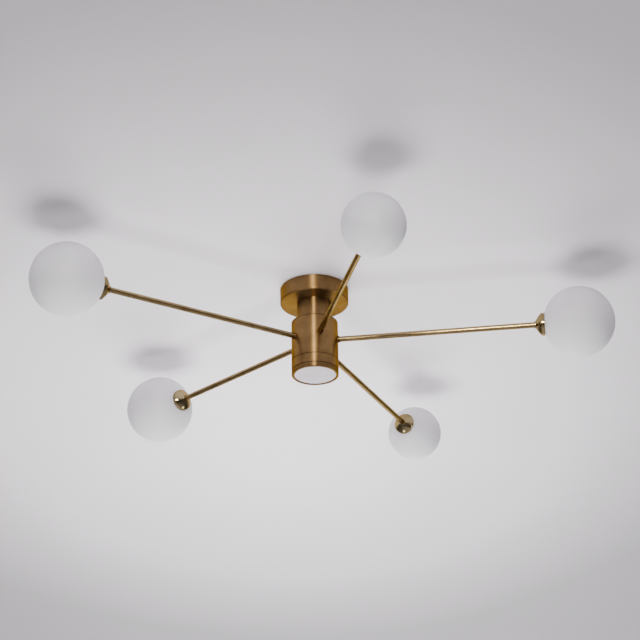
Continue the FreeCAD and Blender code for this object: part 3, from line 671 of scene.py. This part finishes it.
def slotted_screw(form, place, head_r, head_t, shank_r, shank_l):
    """A screw whose head stands up the Z axis of its place and whose shank goes down."""
    floor = head_t * SLOT_FLOOR_SHARE
    outline = [(0.0, 0.0), (head_r, 0.0), (head_r, floor), (0.0, floor)]
    if shank_r > 0.0:
        tip = shank_r * TIP_SHARE
        outline = [(0.0, -shank_l), (shank_r - tip, -shank_l), (shank_r, tip - shank_l),
                   (shank_r, 0.0)] + outline[1:]
    put(form, spun(outline, SCREW_SEGMENTS), place)
    for side in (1, -1):
        put(form, raised_half(head_r, head_t, floor, side), place)


print("ready to build screws")

# %% [markdown]
# Every plain screw is swapped for its slotted one. A head points down, up, or outward from the
# hub's axis, as the two screws in the canopy's side do.

# %% Swap the screws
DOWN = Vector((0.0, 0.0, -1.0))
UP = Vector((0.0, 0.0, 1.0))
for node, material, slot, axis in (
        ("canopy_screws", yellow_brass, "yellow_brass", None),
        ("earth_screw", yellow_brass, "yellow_brass", DOWN),
        ("terminal_screws", yellow_brass, "yellow_brass", DOWN),
        ("driver_screws", zinc, "zinc_steel", UP),
        ("board_screws", zinc, "zinc_steel", DOWN)):
    form = bmesh.new()
    for points in solids(node):
        outward = sum(points, Vector()) / len(points)
        outward.z = 0.0
        slotted_screw(form, *measure_screw(points, axis or outward.normalized()))
    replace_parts(new_piece("slotted_" + node, form, material, "fixture"), node)

# %% [markdown]
# ## Threads, collars and rivets
#
# A globe turns out of its cup on a few shallow ridges moulded round its mouth. They are rings
# here, each an arch spun round the arm's axis, because so low a ridge shows no pitch. The centre
# tube, the lamps and the lampholders get their small turned details in the same way.

# %% Globe threads
RIDGE_H = 0.20 * MM
RIDGE_HALF = 0.45 * MM
RIDGE_ROOT = 0.10 * MM
RIDGE_PITCH = 1.4 * MM
RIDGES = 3
ARCH_STEPS = 8
MOUTH_SEGMENTS = 72
MOUTH_END = 0.5 * MM

for number in ARM_NUMBERS:
    points = along_arm(number, "glass_globe_" + number)
    mouth = min(q.z for q in points)
    mouth_r = max(radius_of(q) for q in points if q.z < mouth + MOUTH_END)
    form = bmesh.new()
    for ridge in range(1, RIDGES + 1):
        at = mouth + ridge * RIDGE_PITCH
        turns = [math.pi * step / ARCH_STEPS for step in range(ARCH_STEPS + 1)]
        arch = [(mouth_r + RIDGE_H * math.sin(a), at - RIDGE_HALF * math.cos(a)) for a in turns]
        root = [(mouth_r - RIDGE_ROOT, at + RIDGE_HALF), (mouth_r - RIDGE_ROOT, at - RIDGE_HALF)]
        put(form, spun(arch + root, MOUTH_SEGMENTS, closed=True), arm_place(number))
    new_piece("globe_thread_" + number, form, opal[number], "globe_" + number)

# %% [markdown]
# The thread on the steel tube is a row of small teeth. Cut square to the axis it is the outline
# of a saw, so a ring with a sawtooth outside does it.

# %% Thread on the centre tube
TOOTH_PITCH = 0.75 * MM
TOOTH_H = 0.18 * MM
TUBE_SEGMENTS = 48


def sawtooth_sleeve(low, high, radius):
    outside = []
    teeth = int((high - low) / TOOTH_PITCH)
    pitch = (high - low) / teeth
    for tooth in range(teeth):
        outside.append((radius, low + tooth * pitch))
        outside.append((radius + TOOTH_H, low + (tooth + 0.5) * pitch))
    outside.append((radius, high))
    inside = [(radius - TOOTH_H, high), (radius - TOOTH_H, low)]
    return spun(outside + inside, TUBE_SEGMENTS, closed=True)


tube_low, tube_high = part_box("centre_nipple")
nuts_low, nuts_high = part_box("nipple_nuts")
tube_r = tube_high.x
form = bmesh.new()
put(form, sawtooth_sleeve(nuts_high.z, tube_high.z, tube_r))
put(form, sawtooth_sleeve(tube_low.z, nuts_low.z, tube_r))
new_piece("centre_thread", form, zinc, "fixture")

# %% [markdown]
# The lamp's collar sits on its thickest part, just outside the holder, and its ribs give a grip.
# Its outline goes up over each rib and comes back down inside, a little under the lamp's skin.

# %% Outline of a lamp collar
COLLAR_FROM_FACE = 1.2 * MM
COLLAR_RIBS = 4
RIB_PITCH = 1.1 * MM
COLLAR_T = 0.16 * MM
RIB_H = 0.22 * MM
RIB_STARTS = 0.3
RIB_ENDS = 0.6
RIB_FOOT = 0.9
COLLAR_SEGMENTS = 64


def collar_outline(lamp_r, low):
    skin = lamp_r + COLLAR_T
    outside = []
    for rib in range(COLLAR_RIBS):
        start = low + rib * RIB_PITCH
        outside += [(skin, start), (skin + RIB_H, start + RIB_PITCH * RIB_STARTS),
                    (skin + RIB_H, start + RIB_PITCH * RIB_ENDS), (skin, start + RIB_PITCH * RIB_FOOT)]
    high = low + COLLAR_RIBS * RIB_PITCH
    return outside + [(skin, high), (lamp_r - COLLAR_T, high), (lamp_r - COLLAR_T, low)]


print("a collar is", round(COLLAR_RIBS * RIB_PITCH / MM, 1), "mm long")

# %% [markdown]
# Two brass rivets stand on each holder's front face, one on either side of the lamp. A rivet is a
# domed outline whose lower half is sunk in the ceramic.

# %% Lamp collars and holder rivets
RIVET_R = 0.70 * MM
RIVET_H = 0.32 * MM
RIVET_INSET = 1.75 * MM
RIVET_SEGMENTS = 24
RIVET_DOME = ((0.0, -1.0), (0.6, -1.0), (1.0, 0.0), (0.92, 0.45), (0.62, 0.82), (0.25, 0.98), (0.0, 1.0))
WIDEST_SHARE = 0.995

for number in ARM_NUMBERS:
    holder = along_arm(number, "lampholder_" + number)
    face = max(q.z for q in holder)
    holder_r = max(radius_of(q) for q in holder)
    lamp = along_arm(number, "lamp_" + number)
    lamp_r = max(radius_of(q) for q in lamp)
    widest = [q.z for q in lamp if radius_of(q) > WIDEST_SHARE * lamp_r]
    low = max(min(widest), face + COLLAR_FROM_FACE)
    form = bmesh.new()
    put(form, spun(collar_outline(lamp_r, low), COLLAR_SEGMENTS, closed=True), arm_place(number))
    new_piece("lamp_collar_" + number, form, white_plastic, "lamp_" + number)
    form = bmesh.new()
    dome = [(RIVET_R * across, RIVET_H * up) for across, up in RIVET_DOME]
    for side in (1, -1):
        spot = Vector((0.0, side * (holder_r - RIVET_INSET), face))
        put(form, spun(dome, RIVET_SEGMENTS), arm_place(number) @ Matrix.Translation(spot))
    new_piece("holder_rivets_" + number, form, yellow_brass, "fixture")

# %% [markdown]
# ## Room and light
#
# The light hangs from a pale ceiling and is seen from below. The stage is that ceiling, a pale
# floor far below it, and soft lamps. In the picture the ceiling is brightest beyond the light and
# falls off to the near corners, so its paint is darkened by the distance from that spot.
# That darkening is painted shade, standing in for the fall-off of the room's light.

# %% Painted fall-off of light on the ceiling
BRIGHTEST_SPOT = (-0.05, 0.60, 0.0)
FALL_OFF_REACH = 2.0
FALL_OFF_SQUEEZE = (1.5, 1.0, 0.0)
FALL_OFF = [(0.0, 1.0), (0.125, 0.98), (0.225, 0.87), (0.30, 0.82), (0.415, 0.755),
            (0.475, 0.69), (0.525, 0.61), (0.61, 0.51), (0.73, 0.38), (1.0, 0.33)]


def painted_fall_off_shade(tree, point):
    """Painted shade: grey that darkens with the distance from the brightest spot, sooner sideways than away.
    """
    away = add(tree, "ShaderNodeVectorMath", operation="SUBTRACT")
    tree.links.new(point, away.inputs[0])
    away.inputs[1].default_value = BRIGHTEST_SPOT
    squeezed = add(tree, "ShaderNodeVectorMath", operation="MULTIPLY")
    tree.links.new(away.outputs[0], squeezed.inputs[0])
    squeezed.inputs[1].default_value = FALL_OFF_SQUEEZE
    length = add(tree, "ShaderNodeVectorMath", operation="LENGTH")
    tree.links.new(squeezed.outputs[0], length.inputs[0])
    return ramp(tree, math_node(tree, "DIVIDE", length.outputs["Value"], FALL_OFF_REACH), FALL_OFF)


print("the ceiling fades over", FALL_OFF_REACH, "m")

# %% [markdown]
# The ceiling only shows its underside, so a camera above it still sees the fitting. Its shader is
# clear from behind and for shadow rays, which lets the light of the room through, and it has a
# hole over the canopy, which hides the hole from below.

# %% Clear from behind
HOLE_SHARE = 0.96
WIRING_HOLE_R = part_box("canopy")[1].x * HOLE_SHARE


def clear_from_behind(tree, shader, point):
    clear = add(tree, "ShaderNodeBsdfTransparent")
    geometry = add(tree, "ShaderNodeNewGeometry")
    path = add(tree, "ShaderNodeLightPath")
    from_axis = add(tree, "ShaderNodeVectorMath", operation="LENGTH")
    tree.links.new(point, from_axis.inputs[0])
    hole = math_node(tree, "LESS_THAN", from_axis.outputs["Value"], WIRING_HOLE_R)
    seen_through = math_node(tree, "MAXIMUM", geometry.outputs["Backfacing"], path.outputs["Is Shadow Ray"])
    seen_through = math_node(tree, "MAXIMUM", seen_through, hole)
    blend = add(tree, "ShaderNodeMixShader")
    tree.links.new(seen_through, blend.inputs[0])
    tree.links.new(shader.outputs[0], blend.inputs[1])
    tree.links.new(clear.outputs[0], blend.inputs[2])
    tree.links.new(blend.outputs[0], tree.nodes["Material Output"].inputs["Surface"])


print("hole over the canopy: radius", round(WIRING_HOLE_R / MM, 1), "mm")

# %% [markdown]
# Ceiling and floor are two large sheets of the same matt paint, with the slow unevenness of a
# rolled coat. The ceiling lies a hair above the canopy's rim, so the two don't touch.

# %% Ceiling and floor
SHEET_HALF = 12.0
CEILING_GAP = 0.4 * MM
FLOOR_DEPTH = 2.6
ROLLED_COAT = 3.0
COAT_STOPS = (0.3, 0.7)
COAT_LIFT = 1.03
MATT = 0.9
CEILING_WHITE = (0.965, 0.918, 0.965)
FLOOR_WHITE = (0.78, 0.775, 0.78)


def pale_paint(name, colour, is_ceiling):
    material, tree, shader = start_material(name)
    point = object_point(tree)
    slow = noise(tree, point, ROLLED_COAT, detail=3.0, roughness=0.5)
    light = tuple(min(1.0, value * COAT_LIFT) for value in colour)
    paint = ramp(tree, slow, list(zip(COAT_STOPS, (colour, light))))
    shader.inputs["Roughness"].default_value = MATT
    if is_ceiling:
        # Painted shade: the paint darkens away from the brightest spot, for the fall-off of light.
        paint = darkened(tree, 1.0, paint, painted_fall_off_shade(tree, point))
        clear_from_behind(tree, shader, point)
    tree.links.new(paint, shader.inputs["Base Color"])
    return material


def stage_sheet(name, height, material, faces_down):
    form = bmesh.new()
    bmesh.ops.create_grid(form, x_segments=1, y_segments=1, size=SHEET_HALF)
    if faces_down:
        bmesh.ops.reverse_faces(form, faces=form.faces)
    bmesh.ops.translate(form, vec=(0.0, 0.0, height), verts=form.verts)
    mesh = bpy.data.meshes.new(name)
    form.to_mesh(mesh)
    form.free()
    mesh.materials.append(material)
    sheet = bpy.data.objects.new(name, mesh)
    bpy.context.scene.collection.objects.link(sheet)


ceiling_paint = pale_paint("ceiling_paint", CEILING_WHITE, is_ceiling=True)
stage_sheet("pale_ceiling", CEILING_GAP, ceiling_paint, faces_down=True)
floor_paint = pale_paint("floor_paint", FLOOR_WHITE, is_ceiling=False)
stage_sheet("pale_floor", -FLOOR_DEPTH, floor_paint, faces_down=False)
print("ceiling", CEILING_GAP, "m above the canopy, floor", FLOOR_DEPTH, "m below it")

# %% [markdown]
# The air round the stage gives the soft light that reaches every side. It is brighter on the far
# side of the room and a little darker overhead.

# %% Light of the room
FAR_SIDE = [(0.0, 0.30), (0.5, 0.50), (1.0, 0.80)]
OVERHEAD = [(0.0, 1.0), (0.25, 0.8), (1.0, 0.6)]
AIR_STRENGTH = 0.9
world = bpy.data.worlds.new("studio_air")
bpy.context.scene.world = world
world.use_nodes = True
air = world.node_tree
background = air.nodes["Background"]
direction = add(air, "ShaderNodeTexCoord")
split = add(air, "ShaderNodeSeparateXYZ")
air.links.new(direction.outputs["Generated"], split.inputs[0])
toward_far = ramp(air, split.outputs["Y"], FAR_SIDE)
overhead = ramp(air, split.outputs["Z"], OVERHEAD)
air.links.new(darkened(air, 1.0, toward_far, overhead), background.inputs["Color"])
background.inputs["Strength"].default_value = AIR_STRENGTH
print("air strength", AIR_STRENGTH)

# %% [markdown]
# Eight soft disc lamps do the rest. Each has a place, a point that it is aimed at, the width of its
# disc in metres and its power in watts.
# Some only light and aren't mirrored in the brass. The strip that draws the bright line on the
# hub is only mirrored, and so are the two sparks in the cups.

# %% Lamps
WHITE = (1.0, 1.0, 1.0)
WARM = (1.0, 0.93, 0.72)
AT_ARMS = (0.0, 0.1, 0.0)
AT_HUB = (0.0, 0.0, -0.1)
AT_FAR_CEILING = (0.0, 1.2, 0.0)
PAST_HUB = (0.0, 0.3, 0.0)


def soft_lamp(name, place, aim, size, watts, colour=WHITE, mirrored=True, scattered=True):
    data = bpy.data.lights.new(name, "AREA")
    data.shape = "DISK"
    data.size = size
    data.energy = watts
    data.color = colour
    lamp = bpy.data.objects.new(name, data)
    bpy.context.scene.collection.objects.link(lamp)
    lamp.location = place
    lamp.rotation_mode = "QUATERNION"
    lamp.rotation_quaternion = (Vector(aim) - Vector(place)).to_track_quat("-Z", "Y")
    lamp.visible_glossy = mirrored
    lamp.visible_diffuse = scattered
    print("lamp", name, watts, "W")


soft_lamp("lamp_below", (-0.20, 0.38, -1.75), AT_ARMS, 1.05, 43.0, mirrored=False)
soft_lamp("right_spark", (1.8, 0.65, -2.35), AT_ARMS, 0.95, 15.0, scattered=False)
soft_lamp("left_spark", (-1.0, -0.10, -2.40), AT_ARMS, 0.75, 11.0, scattered=False)
soft_lamp("far_wash", (0.0, 3.2, -2.3), AT_FAR_CEILING, 2.0, 120.0, mirrored=False)
soft_lamp("far_glow", (0.5, 3.6, -1.9), PAST_HUB, 2.6, 48.0)
soft_lamp("front_fill", (-0.22, -3.3, -0.40), AT_HUB, 0.9, 88.0, mirrored=False)
soft_lamp("low_fill", (-0.3, -2.6, -1.9), AT_HUB, 1.6, 5.0, mirrored=False)
soft_lamp("front_strip", (-0.22, -3.3, -0.30), AT_HUB, 0.46, 98.0, WARM, scattered=False)

# %% [markdown]
# ## Camera
#
# The camera stands below and in front of the light and looks up at it. Its place is given by a
# target on the axis, a distance and an elevation; small yaw, pitch and roll angles put the light
# where the picture has it. The focal length is given in pixels of the square picture, which the
# sensor's width turns into millimetres of lens.

# %% Camera
SENSOR_MM = 36.0
PICTURE_PX = 640
FOCAL_PX = 1744.0
TARGET = Vector((0.0, 0.0, arm_height))
DISTANCE = 2.979
ELEVATION = math.radians(26.34)
YAW = math.radians(0.18)
PITCH = math.radians(0.69)
ROLL = math.radians(-0.77)

camera_place = TARGET + DISTANCE * Vector((0.0, -math.cos(ELEVATION), -math.sin(ELEVATION)))
forward = (TARGET - camera_place).normalized()
right = Vector((1.0, 0.0, 0.0))
up = right.cross(forward)
look = (forward * math.cos(YAW) * math.cos(PITCH) + right * math.sin(YAW) * math.cos(PITCH)
        + up * math.sin(PITCH)).normalized()
side = look.cross(up).normalized()
top = side.cross(look)
side_rolled = side * math.cos(ROLL) + top * math.sin(ROLL)
top_rolled = top * math.cos(ROLL) - side * math.sin(ROLL)
camera_data = bpy.data.cameras.new("camera")
camera_data.sensor_width = SENSOR_MM
camera_data.lens = FOCAL_PX / PICTURE_PX * SENSOR_MM
camera = bpy.data.objects.new("camera", camera_data)
bpy.context.scene.collection.objects.link(camera)
turn = Matrix((side_rolled, top_rolled, -look)).transposed()
camera.matrix_world = Matrix.Translation(camera_place) @ turn.to_4x4()
bpy.context.scene.camera = camera
print("lens", round(camera_data.lens, 1), "mm at", [round(v, 3) for v in camera_place])
